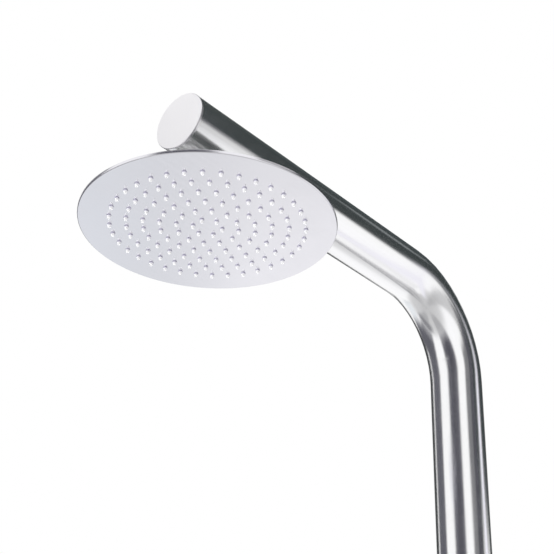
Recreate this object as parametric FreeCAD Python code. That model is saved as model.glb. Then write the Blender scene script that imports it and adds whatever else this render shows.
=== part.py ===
"""Outdoor shower post: a bent stainless tube on a round base plate, with a rain head under its arm.

Frame: millimetres, +Z up, origin on the floor at the post's centreline. The arm reaches towards -Y.
Water comes in at the back near the floor, goes up a hose to a quarter-turn valve on the front, and on up
a second hose, round the bend, to an elbow at the arm's end. A ball joint under the arm carries the head.
Each function below makes one piece, or one set of alike pieces, in its place.
"""

import FreeCAD
import Part

import math
import os

V = FreeCAD.Vector

# ---- Driving sizes -------------------------------------------------------------------------------

# Post, arm and base
ARM_HEIGHT = 2150.0  # floor to the arm's centreline
ARM_REACH = 395.0  # post's centreline to the arm's closed end
TUBE_OD = 50.0
TUBE_WALL = 1.5
BEND_RADIUS = 87.0  # at the tube's centreline
CAP_PLATE = 2.0
CAP_SPIGOT = 3.0  # goes into the tube
CAP_EDGE = 0.4  # ground edge
BASE_OD = 200.0
BASE_PLATE = 10.0
BASE_EDGE = 1.5
HUB_WALL = 7.0  # raised ring that the tube is welded into
HUB_RISE = 6.0
HUB_FILLET = 3.0
TUBE_SEAT_DEPTH = 8.0  # tube's foot below the top of the base plate
BOLT_INSET = 25.0  # bolt circle in from the plate's edge
BOLT_COUNT = 4
BOLT_HOLE = 12.0

# Screwed pipe nipples: one for the head under the arm, one for the supply at the back.
INLET_HEIGHT = 120.0
PIPE_THREAD_OD = 20.955  # G 1/2, drawn plain at its crests
THREAD_CHAMFER = 1.0
OUTLET_THREAD = 10.1
INLET_THREAD = 14.0
NIPPLE_BORE = 10.0
NIPPLE_STUD_OD = 14.0  # screws into the elbow inside the tube
NIPPLE_STUD_REACH = 11.0
FLANGE_THICK = 4.0  # hexagonal flange
FLANGE_RIM = 1.5  # its flats stand out this far past the thread
SADDLE_CROWN = 2.5  # washer's thickness over the tube's crown
SADDLE_RIM = 1.2  # washer's margin round what it carries

# Hoses, elbows and ferrules
HOSE_OD = 13.0
HOSE_BORE = 9.0
TAIL_LENGTH = 20.0  # inside the hose
TAIL_BORE = 6.0
FERRULE_WALL = 0.9
FERRULE_LENGTH = 16.0
ELBOW_OD = 20.0
ELBOW_EDGE = 1.0

# Valve, from its seal out to its lever
VALVE_HEIGHT = 1100.0
VALVE_NECK = 3.0  # between the valve block and each hose
VALVE_BACK_GAP = 1.0  # block's back corners to the tube's wall
BLOCK_WALL = 3.0
BLOCK_THREAD = 7.0  # below the cartridge's shoulder, for the housing's spigot
SPIGOT_WALL = 4.0
CARTRIDGE_OD = 18.0
CARTRIDGE_LENGTH = 21.5  # seal's back to the shoulder that the nut holds
CARTRIDGE_NECK_OD = 12.0
CARTRIDGE_NECK_RISE = 2.0  # past the nut
CUP_WALL = 0.85
SEAL_THICK = 1.5
DISC_THICK = 3.0
PORT_BORE = 5.0
PORT_EDGE = 1.0  # disc left outside each port
CHANNEL_WIDTH = 3.4  # turning disc's channel, clear of the ports when shut
CHANNEL_DEPTH = 1.8
DRIVE_THICK = 2.0
SPINDLE_OD = 8.0
SPINDLE_CHAMFER = 1.0
NUT_LAND = 2.5  # bonnet nut's thread past the cartridge
NUT_THREAD = 6.75
NUT_THICK = 9.0
NUT_FLATS = 19.0
WRENCH_SPACE = 2.5
HOUSING_WALL = 5.0
HOUSING_LENGTH = 14.5
HOUSING_EDGE = 0.6
GLIDE_THICK = 1.0
GLIDE_MARGIN = 1.0  # inside the housing's rim
KNOB_LENGTH = 30.0
KNOB_ROUND = 2.0
KNOB_GRIP = 15.0  # spindle's length inside the knob
KNOB_HOLLOW = 6.0  # behind, over the cartridge's neck
KNOB_HOLLOW_SPACE = 3.0
LEVER_OD = 8.0
LEVER_LENGTH = 45.0  # outside the knob
LEVER_SEAT = 8.0  # inside the knob
LEVER_SETBACK = 13.5  # lever's axis in front of the knob's back
GRUB_OD = 5.0
GRUB_LENGTH = 8.0
GRUB_KEY = 2.5  # hexagon socket, across flats
GRUB_KEY_DEPTH = 3.2

# Ball joint
SCREEN_THICK = 0.6
SCREEN_MARGIN = 0.5  # inside the thread's crests
MESH_PITCH = 3.6
MESH_HOLE = 3.1
BALL_SEAL_THICK = 4.0
SEAL_GRIP = 3.6  # seal's lower face below the ball's crown
BALL_OD = 19.0
BALL_FLAT = 1.7  # cut off the crown
BALL_BORE = 7.0
NECK_OD = 10.4
SEAT_WALL = 0.9  # plastic seat, at the ball's widest
COLLAR_WALL = 3.0
COLLAR_HEX = 11.5
COLLAR_EDGE = 1.5
LIP_REACH = 0.6  # lip's lower edge below the ball's centre, as a share of its radius
LIP_THICK = 1.7
LIP_OVERLAP = 1.1  # inside the ball's radius
NOSE_WALL = 1.2  # collar's wall outside the seat, at its lower end
SHOULDER_GAP = 0.2  # ball's lowest point to the shoulder
SHOULDER_OD = 18.0
SHOULDER_THICK = 1.2
STUD_OD = 12.0
STUD_LENGTH = 8.1
GASKET_THICK = 1.0
LOCK_NUT_FLATS = 17.0
LOCK_NUT_THICK = 4.0
RESTRICTOR_THICK = 3.0
RESTRICTOR_BORE = 2.5

# Head
HEAD_SETBACK = 40.0  # head's axis back from the arm's closed end
HEAD_OD = 203.0
HEAD_THICK = 15.3  # crown to the underside of the face
SHEET = 1.2
RIM_LIP = 1.3  # face plate's turned-up edge
RIM_ROUND = 1.0
CROWN_FLAT = 24.0  # flat on top
CROWN_FOOT = 76.0  # where the crown runs out
CROWN_SLACK = 0.45  # how far the crown's two arcs bow, as shares of their chords
CROWN_BOW = 0.66
CHAMBER_BORDER = 17.0  # flat rim outside the water chamber
CHAMBER_STEP = 2.5  # width of the pressed step
CHAMBER_RISE = 2.4  # height of the pressed step
CHAMBER_PITCH = 1.7  # rise from there to the crown's foot

# Nozzles: rings of 6, 12, 18 ... with one nozzle of each ring on a shared ray
RING_COUNT = 6
FIRST_RING = 11.5
NOZZLE_BORDER = 24.5  # last ring in from the head's edge
RING_RAY = 50.7  # direction of the shared ray, degrees from +X
MAT_MARGIN = 4.0  # mat's edge beyond the last nozzles
MAT_THICK = 1.2
NOZZLE_ROOT = 3.9
NOZZLE_TIP = 2.7
NOZZLE_OUT = 2.9  # beyond the face plate
NOZZLE_SIDES = 6

# Clearances, each on the radius or the face
SEAT_GAP = 0.05  # curved faces that are clamped together
SLIP = 0.1
THREAD_GAP = 0.07
RUN = 0.05
FACE_RUN = 0.3

# ---- Worked-out sizes ----------------------------------------------------------------------------

UP, DOWN, FRONT, BACK = V(0, 0, 1), V(0, 0, -1), V(0, -1, 0), V(0, 1, 0)

TUBE_R = TUBE_OD / 2
TUBE_BORE_R = TUBE_R - TUBE_WALL
TUBE_FOOT = BASE_PLATE - TUBE_SEAT_DEPTH
HEAD_REACH = ARM_REACH - HEAD_SETBACK

THREAD_R = PIPE_THREAD_OD / 2
STUD_R = NIPPLE_STUD_OD / 2
SADDLE_TOP = TUBE_R + SADDLE_CROWN
FLANGE_TOP = SADDLE_TOP + FLANGE_THICK
FLANGE_FLATS = PIPE_THREAD_OD + 2 * FLANGE_RIM
STUD_END = TUBE_BORE_R - NIPPLE_STUD_REACH

HOSE_R = HOSE_OD / 2
TAIL_R = HOSE_BORE / 2 - RUN
FERRULE_R = HOSE_R + FERRULE_WALL
ELBOW_HOSE = ELBOW_OD / 2 + FACE_RUN  # from an elbow's centre to its hose

CARTRIDGE_R = CARTRIDGE_OD / 2
DISC_R = CARTRIDGE_R - SLIP - CUP_WALL - RUN
PORT_OFFSET = DISC_R - PORT_EDGE - PORT_BORE / 2
SPIGOT_R = CARTRIDGE_R + SPIGOT_WALL
BLOCK_R = SPIGOT_R + BLOCK_WALL
VALVE_HOSE = BLOCK_R + VALVE_NECK
NUT_R = CARTRIDGE_R + NUT_LAND
WRENCH_R = NUT_R + WRENCH_SPACE
HOUSING_R = WRENCH_R + HOUSING_WALL
KNOB_R = HOUSING_R

# Along the valve, outwards from the post's centreline
CARTRIDGE_TOP = SADDLE_TOP
FLOOR = CARTRIDGE_TOP - CARTRIDGE_LENGTH
SPIGOT_END = FLOOR + BLOCK_THREAD
SEAL_FRONT = FLOOR + SEAL_THICK
FIXED_FRONT = SEAL_FRONT + DISC_THICK
TURNING_BACK = FIXED_FRONT + RUN
TURNING_FRONT = TURNING_BACK + DISC_THICK
DRIVE_FRONT = TURNING_FRONT + DRIVE_THICK
NUT_THREAD_FRONT = CARTRIDGE_TOP + NUT_THREAD
NUT_FRONT = CARTRIDGE_TOP + NUT_THICK
HOUSING_FRONT = SADDLE_TOP + HOUSING_LENGTH
KNOB_BACK = HOUSING_FRONT + GLIDE_THICK + FACE_RUN
KNOB_FRONT = KNOB_BACK + KNOB_LENGTH

# Down the ball joint and head, from the arm's centreline
BALL_R = BALL_OD / 2
SEAT_R = BALL_R + SEAT_WALL
SPOUT_END = FLANGE_TOP + OUTLET_THREAD
SCREEN_LOW = SPOUT_END + SCREEN_THICK
SEAL_LOW = SCREEN_LOW + BALL_SEAL_THICK
SEAL_POCKET_R = max(THREAD_R + THREAD_GAP, SEAT_R + RUN)
BALL_DEPTH = SEAL_LOW - SEAL_GRIP + BALL_R
COLLAR_TOP = FLANGE_TOP + FACE_RUN
COLLAR_END = BALL_DEPTH + LIP_REACH * BALL_R
COLLAR_FLATS = 2 * (max(THREAD_R, SEAT_R) + COLLAR_WALL)
LIP_TOP = COLLAR_END - LIP_THICK
SHOULDER_TOP = BALL_DEPTH + BALL_R + SHOULDER_GAP
SHOULDER_LOW = SHOULDER_TOP + SHOULDER_THICK
CROWN_TOP = SHOULDER_LOW + GASKET_THICK
FACE_LOW = CROWN_TOP + HEAD_THICK
FACE_BACK = FACE_LOW - SHEET
RIM_TOP = FACE_BACK - SHEET

HEAD_R = HEAD_OD / 2
SHELL_R = HEAD_R - RIM_LIP - SLIP
LAST_RING = HEAD_R - NOZZLE_BORDER
RING_PITCH = (LAST_RING - FIRST_RING) / (RING_COUNT - 1)
MAT_R = LAST_RING + NOZZLE_ROOT / 2 + MAT_MARGIN

INLET_CENTRE = V(0, 0, INLET_HEIGHT)
OUTLET_CENTRE = V(0, -HEAD_REACH, ARM_HEIGHT)
VALVE_CENTRE = V(0, 0, VALVE_HEIGHT)
BALL_CENTRE = OUTLET_CENTRE + DOWN * BALL_DEPTH


# ---- Helpers -------------------------------------------------------------------------------------


def placed(shape, origin, direction):
    """A shape drawn about +Z, moved so that +Z points along direction from origin."""
    shape.Placement = FreeCAD.Placement(origin, FreeCAD.Rotation(UP, direction))
    return shape


def turned(outline, origin, direction):
    """A solid of revolution. outline is a closed run of (radius, height) points.

    A point with two more numbers is reached by an arc through them: (radius, height, through r, through h).
    """
    edges = []
    here = V(outline[-1][0], 0, outline[-1][1])
    for point in outline:
        there = V(point[0], 0, point[1])
        if len(point) == 4:
            edges.append(Part.Arc(here, V(point[2], 0, point[3]), there).toShape())
        else:
            edges.append(Part.LineSegment(here, there).toShape())
        here = there
    face = Part.Face(Part.Wire(edges))
    return placed(face.revolve(V(0, 0, 0), UP, 360), origin, direction)


def rod(radius, low, high, origin, direction):
    """A cylinder along direction, from low to high."""
    return Part.makeCylinder(radius, high - low, origin + direction * low, direction)


def ring(outer, inner, low, high, origin, direction):
    """A plain bush or washer."""
    return turned([(inner, low), (outer, low), (outer, high), (inner, high)], origin, direction)


def hexagon(flats, low, high, origin, direction):
    """A hexagonal bar, measured across its flats."""
    face = Part.Face(polygon(6, flats / math.sqrt(3), V(0, 0, low)))
    return placed(face.extrude(UP * (high - low)), origin, direction)


def polygon(sides, radius, centre):
    """A level regular polygon with its corners at radius."""
    turn = 2 * math.pi / sides
    corners = [V(math.cos(turn * n), math.sin(turn * n), 0) * radius + centre for n in range(sides)]
    return Part.makePolygon(corners + corners[:1])


def circle(radius):
    """A level round wire about the origin."""
    return Part.Wire(Part.makeCircle(radius))


def flat_face(wires):
    """A face inside the first wire, with the other wires as holes."""
    return Part.makeFace(wires, "Part::FaceMakerBullseye")


def along_tube(wires, start, reach):
    """Carries a level section up the post from start, round the bend and along the arm to reach."""
    bend_low = ARM_HEIGHT - BEND_RADIUS
    section = flat_face(wires)
    post = section.translated(UP * start).extrude(UP * (bend_low - start))
    bend = section.translated(UP * bend_low).revolve(V(0, -BEND_RADIUS, bend_low), V(1, 0, 0), 90)
    arm = section.rotated(V(0, 0, 0), V(1, 0, 0), 90).translated(V(0, -BEND_RADIUS, ARM_HEIGHT))
    arm = arm.extrude(FRONT * (reach - BEND_RADIUS))
    return post.fuse([bend, arm]).removeSplitter()


def tube_axis(direction):
    """The way the tube runs where something goes through its wall in this direction."""
    return BACK if direction.z else UP


# ---- Post and base -------------------------------------------------------------------------------


def post_tube():
    """The one bent tube: post, bend and arm, with its three holes."""
    tube = along_tube([circle(TUBE_R), circle(TUBE_BORE_R)], TUBE_FOOT, ARM_REACH - CAP_PLATE)
    holes = [
        rod(STUD_R + SLIP, 0, SADDLE_TOP, OUTLET_CENTRE, DOWN),
        rod(STUD_R + SLIP, 0, SADDLE_TOP, INLET_CENTRE, BACK),
        rod(SPIGOT_R + SLIP, 0, SADDLE_TOP, VALVE_CENTRE, FRONT),
    ]
    return tube.cut(holes)


def end_cap():
    """The flat plate that closes the arm, ground flush with the tube, on a short spigot."""
    plate_back = ARM_REACH - CAP_PLATE
    spigot_end = plate_back - CAP_SPIGOT
    outline = [
        (0, ARM_REACH),
        (TUBE_R - CAP_EDGE, ARM_REACH),
        (TUBE_R, ARM_REACH - CAP_EDGE),
        (TUBE_R, plate_back),
        (TUBE_BORE_R - SLIP, plate_back),
        (TUBE_BORE_R - SLIP, spigot_end),
        (0, spigot_end),
    ]
    return turned(outline, V(0, 0, ARM_HEIGHT), FRONT)


def base_flange():
    """The round foot, with a raised ring that the tube stands in, and its anchor holes."""
    plate_r = BASE_OD / 2
    seat_r = TUBE_R + SLIP
    hub_r = seat_r + HUB_WALL
    hub_top = BASE_PLATE + HUB_RISE
    sag = HUB_FILLET * (1 - math.sqrt(0.5))
    outline = [
        (0, 0),
        (plate_r - BASE_EDGE / 2, 0),
        (plate_r, BASE_EDGE / 2),
        (plate_r, BASE_PLATE - BASE_EDGE),
        (plate_r - BASE_EDGE, BASE_PLATE),
        (hub_r + HUB_FILLET, BASE_PLATE),
        (hub_r, BASE_PLATE + HUB_FILLET, hub_r + sag, BASE_PLATE + sag),
        (hub_r, hub_top - BASE_EDGE),
        (hub_r - BASE_EDGE, hub_top),
        (seat_r, hub_top),
        (seat_r, TUBE_FOOT),
        (0, TUBE_FOOT),
    ]
    flange = turned(outline, V(0, 0, 0), UP)
    holes = []
    for step in range(BOLT_COUNT):
        angle = 2 * math.pi * (step + 0.5) / BOLT_COUNT
        centre = V(math.cos(angle), math.sin(angle), 0) * (plate_r - BOLT_INSET)
        holes.append(rod(BOLT_HOLE / 2, 0, BASE_PLATE, centre, UP))
    return flange.cut(holes)


# ---- Nipples, elbows and hoses -------------------------------------------------------------------


def saddle(outer, hole, centre, direction):
    """A washer with one face hollowed to the tube and the other flat."""
    washer = ring(outer, hole + SLIP, 0, SADDLE_TOP, centre, direction)
    return washer.cut(rod(TUBE_R + SEAT_GAP, -outer, outer, centre, tube_axis(direction)))


def nipple_saddle(centre, direction):
    """The saddle under a nipple's hexagonal flange."""
    return saddle(FLANGE_FLATS / math.sqrt(3) + SADDLE_RIM, STUD_R, centre, direction)


def nipple(thread, centre, direction):
    """A hollow nipple: stud inside the tube, hexagonal flange, pipe thread outside."""
    end = FLANGE_TOP + thread
    stem = turned(
        [
            (NIPPLE_BORE / 2, STUD_END),
            (STUD_R - THREAD_GAP, STUD_END),
            (STUD_R - THREAD_GAP, FLANGE_TOP),
            (THREAD_R, FLANGE_TOP),
            (THREAD_R, end - THREAD_CHAMFER),
            (THREAD_R - THREAD_CHAMFER, end),
            (NIPPLE_BORE / 2, end),
        ],
        centre,
        direction,
    )
    flange = hexagon(FLANGE_FLATS, SADDLE_TOP, FLANGE_TOP, centre, direction)
    bore = rod(NIPPLE_BORE / 2, 0, FLANGE_TOP, centre, direction)
    return flange.cut(bore).fuse(stem).removeSplitter()


def elbow(centre, direction, hose_way):
    """A hose elbow inside the tube: bored for the nipple's stud, with a tail for the hose."""
    half = ELBOW_OD / 2
    block = turned(
        [
            (0, -half),
            (half - ELBOW_EDGE, -half),
            (half, ELBOW_EDGE - half),
            (half, TUBE_R),
            (0, TUBE_R),
        ],
        centre,
        direction,
    )
    inside_tube = rod(TUBE_BORE_R - SEAT_GAP, -TUBE_OD, TUBE_OD, centre, tube_axis(direction))
    tail = rod(TAIL_R, 0, ELBOW_HOSE + TAIL_LENGTH, centre, hose_way)
    cuts = [
        rod(STUD_R, STUD_END - FACE_RUN, TUBE_R, centre, direction),
        rod(TAIL_BORE / 2, 0, TUBE_R, centre, direction),
        rod(TAIL_BORE / 2, 0, ELBOW_HOSE + TAIL_LENGTH, centre, hose_way),
    ]
    return block.common(inside_tube).fuse(tail).cut(cuts)


def supply_hose_lower():
    """Inlet elbow to valve, straight up the post."""
    low = INLET_HEIGHT + ELBOW_HOSE
    high = VALVE_HEIGHT - VALVE_HOSE
    return ring(HOSE_R, HOSE_BORE / 2, low, high, V(0, 0, 0), UP)


def supply_hose_upper():
    """Valve to the arm's elbow, round the bend on the tube's centreline."""
    walls = [circle(HOSE_R), circle(HOSE_BORE / 2)]
    return along_tube(walls, VALVE_HEIGHT + VALVE_HOSE, HEAD_REACH - ELBOW_HOSE)


def hose_ferrules():
    """The four crimped sleeves, one at each hose end."""
    hose_ends = [
        (INLET_CENTRE, UP, ELBOW_HOSE),
        (VALVE_CENTRE, DOWN, VALVE_HOSE),
        (VALVE_CENTRE, UP, VALVE_HOSE),
        (OUTLET_CENTRE, BACK, ELBOW_HOSE),
    ]
    sleeves = []
    for centre, way, start in hose_ends:
        sleeves.append(ring(FERRULE_R, HOSE_R + RUN, start, start + FERRULE_LENGTH, centre, way))
    return Part.Compound(sleeves)


# ---- Valve ---------------------------------------------------------------------------------------


def valve_rod(radius, low, high):
    """A cylinder along the valve's axis."""
    return rod(radius, low, high, VALVE_CENTRE, FRONT)


def port_pair(low, high):
    """The two waterways, above and below the valve's axis."""
    sides = [VALVE_CENTRE + UP * PORT_OFFSET, VALVE_CENTRE + DOWN * PORT_OFFSET]
    return [rod(PORT_BORE / 2, low, high, side, FRONT) for side in sides]


def valve_body():
    """The brass block inside the tube, with a hose tail below and above, open in front."""
    back = math.sqrt(TUBE_BORE_R**2 - BLOCK_R**2) - VALVE_BACK_GAP
    inside_tube = rod(TUBE_BORE_R - SEAT_GAP, -TUBE_OD, TUBE_OD, VALVE_CENTRE, UP)
    block = valve_rod(BLOCK_R, -back, TUBE_R).common(inside_tube)
    reach = VALVE_HOSE + TAIL_LENGTH
    necks = [
        rod(FERRULE_R, -VALVE_HOSE, VALVE_HOSE, VALVE_CENTRE, UP),
        rod(TAIL_R, -reach, reach, VALVE_CENTRE, UP),
    ]
    cuts = port_pair(-PORT_BORE / 2, FLOOR) + [
        valve_rod(CARTRIDGE_R, FLOOR, TUBE_R),
        valve_rod(SPIGOT_R, SPIGOT_END, TUBE_R),
        rod(TAIL_BORE / 2, PORT_OFFSET, reach, VALVE_CENTRE, UP),
        rod(TAIL_BORE / 2, PORT_OFFSET, reach, VALVE_CENTRE, DOWN),
    ]
    return block.fuse(necks).cut(cuts)


def valve_saddle():
    """The saddle between the post and the valve's housing."""
    return saddle(HOUSING_R, SPIGOT_R, VALVE_CENTRE, FRONT)


def valve_housing():
    """The round housing: its spigot screws into the block, and the cartridge sits inside it."""
    outline = [
        (CARTRIDGE_R, SPIGOT_END + FACE_RUN),
        (SPIGOT_R - THREAD_GAP, SPIGOT_END + FACE_RUN),
        (SPIGOT_R - THREAD_GAP, SADDLE_TOP),
        (HOUSING_R, SADDLE_TOP),
        (HOUSING_R, HOUSING_FRONT - HOUSING_EDGE),
        (HOUSING_R - HOUSING_EDGE, HOUSING_FRONT),
        (WRENCH_R, HOUSING_FRONT),
        (WRENCH_R, NUT_THREAD_FRONT),
        (NUT_R, NUT_THREAD_FRONT),
        (NUT_R, CARTRIDGE_TOP),
        (CARTRIDGE_R, CARTRIDGE_TOP),
    ]
    return turned(outline, VALVE_CENTRE, FRONT)


def cartridge_seal():
    """The rubber disc behind the cartridge, with its two ports."""
    seal = valve_rod(CARTRIDGE_R - SLIP, FLOOR, SEAL_FRONT)
    return seal.cut(port_pair(FLOOR, SEAL_FRONT))


def fixed_disc():
    """The ceramic disc that stays still, with its two ports."""
    disc = valve_rod(DISC_R, SEAL_FRONT, FIXED_FRONT)
    return disc.cut(port_pair(SEAL_FRONT, FIXED_FRONT))


def turning_disc():
    """The ceramic disc that turns: its channel lies across the ports when the valve is shut."""
    reach = PORT_OFFSET + PORT_BORE / 2
    corner = V(-reach, 0, -CHANNEL_WIDTH / 2)
    channel = Part.makeBox(2 * reach, CHANNEL_DEPTH, CHANNEL_WIDTH, corner)
    channel.translate(VALVE_CENTRE + FRONT * (TURNING_BACK + CHANNEL_DEPTH))
    return valve_rod(DISC_R, TURNING_BACK, TURNING_FRONT).cut(channel)


def valve_cartridge():
    """The cup that holds the discs and carries the spindle."""
    pocket_r = DISC_R + RUN
    cup_r = CARTRIDGE_R - SLIP
    neck_r = CARTRIDGE_NECK_OD / 2
    journal_r = SPINDLE_OD / 2 + RUN
    roof = DRIVE_FRONT + RUN
    neck_top = NUT_FRONT + CARTRIDGE_NECK_RISE
    outline = [
        (pocket_r, SEAL_FRONT),
        (cup_r, SEAL_FRONT),
        (cup_r, CARTRIDGE_TOP),
        (neck_r, CARTRIDGE_TOP),
        (neck_r, neck_top),
        (journal_r, neck_top),
        (journal_r, roof),
        (pocket_r, roof),
    ]
    return turned(outline, VALVE_CENTRE, FRONT)


def valve_spindle():
    """Spindle and drive plate in one, reaching into the knob."""
    end = KNOB_BACK + KNOB_GRIP
    spindle_r = SPINDLE_OD / 2
    outline = [
        (0, TURNING_FRONT),
        (DISC_R - SLIP, TURNING_FRONT),
        (DISC_R - SLIP, DRIVE_FRONT),
        (spindle_r, DRIVE_FRONT),
        (spindle_r, end - SPINDLE_CHAMFER),
        (spindle_r - SPINDLE_CHAMFER, end),
        (0, end),
    ]
    return turned(outline, VALVE_CENTRE, FRONT)


def bonnet_nut():
    """The nut that holds the cartridge down: round and threaded behind, hexagonal in front."""
    thread = valve_rod(NUT_R - THREAD_GAP, CARTRIDGE_TOP, NUT_THREAD_FRONT)
    head = hexagon(NUT_FLATS, NUT_THREAD_FRONT, NUT_FRONT, VALVE_CENTRE, FRONT)
    hole = valve_rod(CARTRIDGE_NECK_OD / 2 + SLIP, CARTRIDGE_TOP, NUT_FRONT)
    return thread.fuse(head).cut(hole)


def handle_glide_ring():
    """The thin ring that keeps the knob off the housing."""
    inner, outer = WRENCH_R + GLIDE_MARGIN, HOUSING_R - GLIDE_MARGIN
    return ring(outer, inner, HOUSING_FRONT, HOUSING_FRONT + GLIDE_THICK, VALVE_CENTRE, FRONT)


LEVER_FOOT = VALVE_CENTRE + FRONT * (KNOB_BACK + LEVER_SETBACK)


def handle_knob():
    """The round knob, hollow behind, bored for the spindle, lever and grub screw."""
    hollow_r = CARTRIDGE_NECK_OD / 2 + KNOB_HOLLOW_SPACE
    hollow_front = KNOB_BACK + KNOB_HOLLOW
    sag = KNOB_ROUND * (1 - math.sqrt(0.5))
    outline = [
        (hollow_r, KNOB_BACK),
        (KNOB_R - HOUSING_EDGE, KNOB_BACK),
        (KNOB_R, KNOB_BACK + HOUSING_EDGE),
        (KNOB_R, KNOB_FRONT - KNOB_ROUND),
        (KNOB_R - KNOB_ROUND, KNOB_FRONT, KNOB_R - sag, KNOB_FRONT - sag),
        (0, KNOB_FRONT),
        (0, hollow_front),
        (hollow_r, hollow_front),
    ]
    cuts = [
        valve_rod(SPINDLE_OD / 2 + RUN, KNOB_BACK, KNOB_BACK + KNOB_GRIP + FACE_RUN),
        rod(LEVER_OD / 2 + RUN, KNOB_R - LEVER_SEAT, 2 * KNOB_R, LEVER_FOOT, UP),
        rod(GRUB_OD / 2 + RUN, 0, 2 * KNOB_R, LEVER_FOOT, DOWN),
    ]
    return turned(outline, VALVE_CENTRE, FRONT).cut(cuts)


def handle_lever():
    """The round-ended pin lever, screwed into the top of the knob."""
    lever_r = LEVER_OD / 2
    low = KNOB_R - LEVER_SEAT
    high = KNOB_R + LEVER_LENGTH
    on_dome = lever_r * math.sqrt(0.5)
    outline = [
        (0, low),
        (lever_r, low),
        (lever_r, high - lever_r),
        (0, high, on_dome, high - lever_r + on_dome),
    ]
    return turned(outline, LEVER_FOOT, UP)


def handle_screw():
    """The grub screw that grips the spindle from below, with a hexagon socket."""
    start = SPINDLE_OD / 2
    end = start + GRUB_LENGTH
    screw = rod(GRUB_OD / 2, start, end, LEVER_FOOT, DOWN)
    return screw.cut(hexagon(GRUB_KEY, end - GRUB_KEY_DEPTH, end, LEVER_FOOT, DOWN))


# ---- Ball joint ----------------------------------------------------------------------------------


def joint_rod(radius, low, high):
    """A cylinder down the head's axis."""
    return rod(radius, low, high, OUTLET_CENTRE, DOWN)


def joint_ring(outer, inner, low, high):
    """A ring about the head's axis."""
    return ring(outer, inner, low, high, OUTLET_CENTRE, DOWN)


def joint_turned(outline):
    """A turned piece about the head's axis, its heights measured down from the arm's centreline."""
    return turned(outline, OUTLET_CENTRE, DOWN)


def filter_screen():
    """The gauze disc in the outlet, as a plate with square holes."""
    holes = []
    for column in (-1, 0, 1):
        for row in (-1, 0, 1):
            hole = polygon(4, MESH_HOLE / math.sqrt(2), V(0, 0, 0))
            hole.rotate(V(0, 0, 0), UP, 45)
            hole.translate(V(column, row, 0) * MESH_PITCH)
            holes.append(hole)
    plate = flat_face([circle(THREAD_R - SCREEN_MARGIN)] + holes).extrude(UP * SCREEN_THICK)
    return placed(plate, OUTLET_CENTRE + DOWN * SPOUT_END, DOWN)


def ball_seal():
    """The rubber ring between the outlet and the ball, hollowed to the ball."""
    inner = BALL_BORE / 2 + SCREEN_MARGIN
    blank = joint_ring(SEAL_POCKET_R - SLIP, inner, SCREEN_LOW, SEAL_LOW)
    return blank.cut(Part.makeSphere(BALL_R + RUN, BALL_CENTRE))


def ball_seat():
    """The plastic seat that turns in the collar with the ball."""
    blank = joint_ring(SEAT_R, BALL_R - LIP_OVERLAP, SEAL_LOW + SLIP, LIP_TOP - RUN)
    return blank.cut(
        [
            Part.makeSphere(BALL_R + RUN, BALL_CENTRE),
            joint_rod(BALL_R + RUN, 0, BALL_DEPTH),
        ]
    )


def swivel_collar():
    """The collar nut: female pipe thread above, the seat's round pocket and a lip below."""
    nose_top = COLLAR_TOP + COLLAR_HEX
    nose_r = COLLAR_FLATS / 2
    lip_r = BALL_R - LIP_OVERLAP
    nose = joint_turned(
        [
            (0, nose_top),
            (nose_r, nose_top),
            (nose_r, nose_top + COLLAR_EDGE),
            (SEAT_R + NOSE_WALL, COLLAR_END),
            (0, COLLAR_END),
        ]
    )
    cuts = [
        joint_rod(THREAD_R + THREAD_GAP, COLLAR_TOP, SPOUT_END),
        joint_rod(SEAL_POCKET_R, SPOUT_END, SEAL_LOW),
        joint_rod(SEAT_R + RUN, SEAL_LOW, LIP_TOP),
        joint_rod(lip_r, LIP_TOP, COLLAR_END),
        Part.makeSphere(BALL_R + RUN, BALL_CENTRE),
    ]
    body = hexagon(COLLAR_FLATS, COLLAR_TOP, nose_top, OUTLET_CENTRE, DOWN)
    return body.fuse(nose).cut(cuts)


def swivel_ball():
    """Ball, neck, shoulder and threaded stud in one, bored through."""
    bore_r = BALL_BORE / 2
    neck_r = NECK_OD / 2
    flat = BALL_DEPTH - BALL_R + BALL_FLAT
    flat_r = math.sqrt(BALL_R**2 - (BALL_R - BALL_FLAT) ** 2)
    neck_top = BALL_DEPTH + math.sqrt(BALL_R**2 - neck_r**2)
    stud_end = SHOULDER_LOW + STUD_LENGTH
    return joint_turned(
        [
            (bore_r, flat),
            (flat_r, flat),
            (neck_r, neck_top, BALL_R, BALL_DEPTH),
            (neck_r, SHOULDER_TOP),
            (SHOULDER_OD / 2, SHOULDER_TOP),
            (SHOULDER_OD / 2, SHOULDER_LOW),
            (STUD_OD / 2, SHOULDER_LOW),
            (STUD_OD / 2, stud_end),
            (bore_r, stud_end),
        ]
    )


def flow_restrictor():
    """The plastic plug in the ball's bore that meters the water."""
    low = SHOULDER_LOW + RESTRICTOR_THICK
    return joint_ring(BALL_BORE / 2 - RUN, RESTRICTOR_BORE / 2, SHOULDER_LOW, low)


def head_gasket():
    """The washer between the ball's shoulder and the head."""
    return joint_ring(SHOULDER_OD / 2, STUD_OD / 2 + SLIP, SHOULDER_LOW, CROWN_TOP)


def head_lock_nut():
    """The thin nut inside the head that clamps it to the stud."""
    top = CROWN_TOP + SHEET
    nut = hexagon(LOCK_NUT_FLATS, top, top + LOCK_NUT_THICK, OUTLET_CENTRE, DOWN)
    return nut.cut(joint_rod(STUD_OD / 2 + THREAD_GAP, top, top + LOCK_NUT_THICK))


# ---- Head ----------------------------------------------------------------------------------------


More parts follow.
